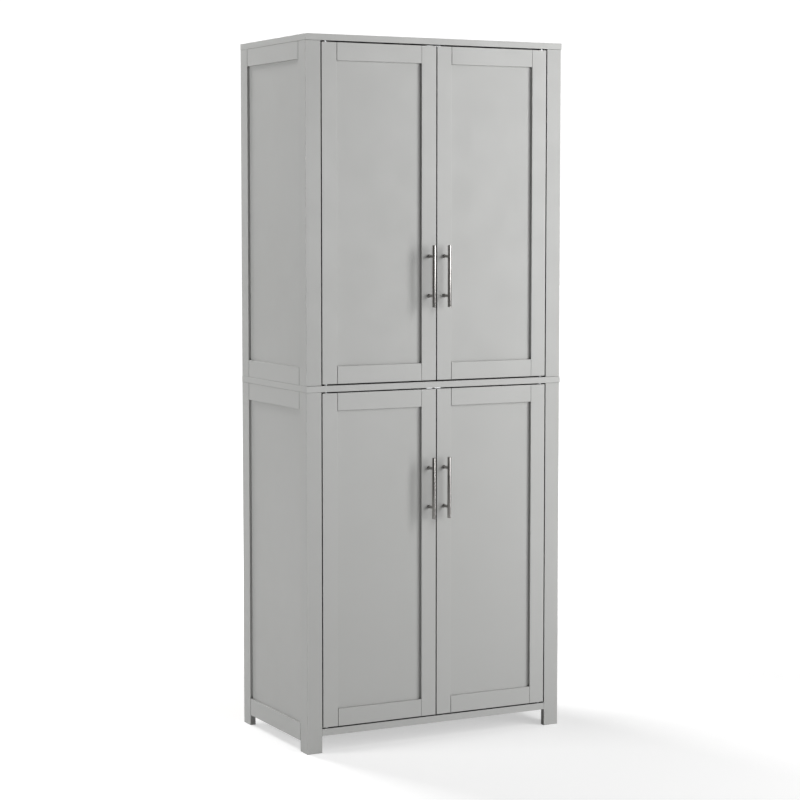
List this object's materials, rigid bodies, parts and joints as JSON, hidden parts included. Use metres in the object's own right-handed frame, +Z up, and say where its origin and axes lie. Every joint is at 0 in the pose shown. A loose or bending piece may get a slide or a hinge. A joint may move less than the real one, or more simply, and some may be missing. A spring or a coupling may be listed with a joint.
{
  "type": "pantry cabinet",
  "caption": "Tall freestanding pantry cabinet with framed doors in two tiers, pivot hinges, bar handles, recessed side panels and adjustable shelves.",
  "frame": {"origin": "on the floor, under the middle of the box that holds the whole cabinet with its handles", "axes": "+Z up, -Y out of the doors towards the person who opens them, +X to that person's right"},
  "size_m": [0.747, 0.446, 1.829],
  "materials": {
    "painted_frame": "satin light grey paint",
    "painted_panel": "satin light grey paint",
    "painted_hardboard": "thin hardboard, bare brown outside with a grey laminate face inside",
    "brushed_nickel": "brushed nickel",
    "pin_steel": "bright zinc plated",
    "catch_plastic": "moulded white plastic"
  },
  "bodies": {
    "carcass": {"top_board": "painted_frame", "middle_board": "painted_frame", "bottom_board": "painted_frame", "back_panel": "painted_hardboard", "lower_left_front_post": "painted_frame", "lower_left_back_post": "painted_frame", "lower_left_side_bottom_rail": "painted_frame", "lower_left_side_top_rail": "painted_frame", "lower_left_side_panel": "painted_panel", "lower_right_front_post": "painted_frame", "lower_right_back_post": "painted_frame", "lower_right_side_bottom_rail": "painted_frame", "lower_right_side_top_rail": "painted_frame", "lower_right_side_panel": "painted_panel", "lower_magnetic_catch": "catch_plastic", "upper_left_front_post": "painted_frame", "upper_left_back_post": "painted_frame", "upper_left_side_bottom_rail": "painted_frame", "upper_left_side_top_rail": "painted_frame", "upper_left_side_panel": "painted_panel", "upper_right_front_post": "painted_frame", "upper_right_back_post": "painted_frame", "upper_right_side_bottom_rail": "painted_frame", "upper_right_side_top_rail": "painted_frame", "upper_right_side_panel": "painted_panel", "upper_magnetic_catch": "catch_plastic"},
    "lower_left_door": {"lower_left_door_hinge_stile": "painted_frame", "lower_left_door_handle_stile": "painted_frame", "lower_left_door_bottom_rail": "painted_frame", "lower_left_door_top_rail": "painted_frame", "lower_left_door_panel": "painted_panel", "lower_left_door_bottom_pivot_pin": "pin_steel", "lower_left_door_top_pivot_pin": "pin_steel", "lower_left_door_handle": "brushed_nickel"},
    "lower_right_door": {"lower_right_door_hinge_stile": "painted_frame", "lower_right_door_handle_stile": "painted_frame", "lower_right_door_bottom_rail": "painted_frame", "lower_right_door_top_rail": "painted_frame", "lower_right_door_panel": "painted_panel", "lower_right_door_bottom_pivot_pin": "pin_steel", "lower_right_door_top_pivot_pin": "pin_steel", "lower_right_door_handle": "brushed_nickel"},
    "upper_left_door": {"upper_left_door_hinge_stile": "painted_frame", "upper_left_door_handle_stile": "painted_frame", "upper_left_door_bottom_rail": "painted_frame", "upper_left_door_top_rail": "painted_frame", "upper_left_door_panel": "painted_panel", "upper_left_door_bottom_pivot_pin": "pin_steel", "upper_left_door_top_pivot_pin": "pin_steel", "upper_left_door_handle": "brushed_nickel"},
    "upper_right_door": {"upper_right_door_hinge_stile": "painted_frame", "upper_right_door_handle_stile": "painted_frame", "upper_right_door_bottom_rail": "painted_frame", "upper_right_door_top_rail": "painted_frame", "upper_right_door_panel": "painted_panel", "upper_right_door_bottom_pivot_pin": "pin_steel", "upper_right_door_top_pivot_pin": "pin_steel", "upper_right_door_handle": "brushed_nickel"},
    "lower_shelf_set": {"lower_shelf": "painted_frame"},
    "upper_shelf_set": {"upper_shelf": "painted_frame"}
  },
  "joints": [
    {"name": "lower_left_door_hinge", "type": "hinge", "parent": "carcass", "child": "lower_left_door", "pos_m": [-0.316, -0.181, 0.4955], "axis": [0, 0, -1], "range_deg": [0, 110]},
    {"name": "lower_right_door_hinge", "type": "hinge", "parent": "carcass", "child": "lower_right_door", "pos_m": [0.316, -0.181, 0.4955], "axis": [0, 0, 1], "range_deg": [0, 110]},
    {"name": "upper_left_door_hinge", "type": "hinge", "parent": "carcass", "child": "upper_left_door", "pos_m": [-0.316, -0.181, 1.379], "axis": [0, 0, -1], "range_deg": [0, 110]},
    {"name": "upper_right_door_hinge", "type": "hinge", "parent": "carcass", "child": "upper_right_door", "pos_m": [0.316, -0.181, 1.379], "axis": [0, 0, 1], "range_deg": [0, 110]},
    {"name": "lower_shelf_height", "type": "slide", "parent": "carcass", "child": "lower_shelf_set", "axis": [0, 0, 1], "range_m": [0, 0.096]},
    {"name": "upper_shelf_height", "type": "slide", "parent": "carcass", "child": "upper_shelf_set", "axis": [0, 0, 1], "range_m": [0, 0.096]}
  ]
}
